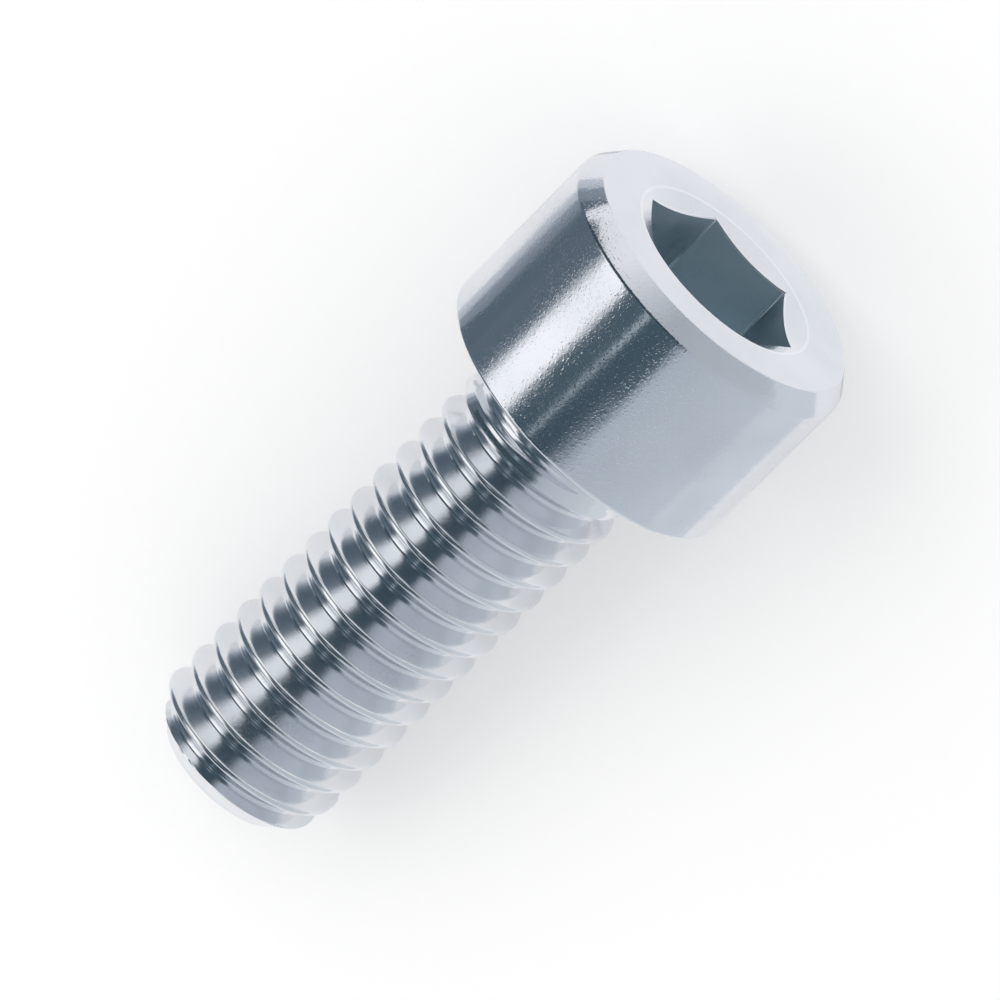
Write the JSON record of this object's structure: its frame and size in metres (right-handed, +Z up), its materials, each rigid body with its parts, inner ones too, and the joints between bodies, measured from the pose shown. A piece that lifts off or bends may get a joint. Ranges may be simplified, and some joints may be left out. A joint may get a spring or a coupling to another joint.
{
  "type": "hexagon socket head cap screw",
  "caption": "Metric socket head cap screw with a plain cylindrical head, a hexagon socket and a right-hand thread that runs out at a short neck.",
  "frame": {"origin": "centre of the screw's footprint box, on the surface it lies on", "axes": "+Z up from that surface; +X along the lying screw towards its head, whose axis rises 7.45 degrees above +X; +Y across the screw"},
  "size_m": [0.0226, 0.01, 0.0106],
  "materials": {
    "steel": "smooth bright steel with fine pits"
  },
  "bodies": {
    "root": {"socket_head_screw": "steel"}
  },
  "joints": []
}
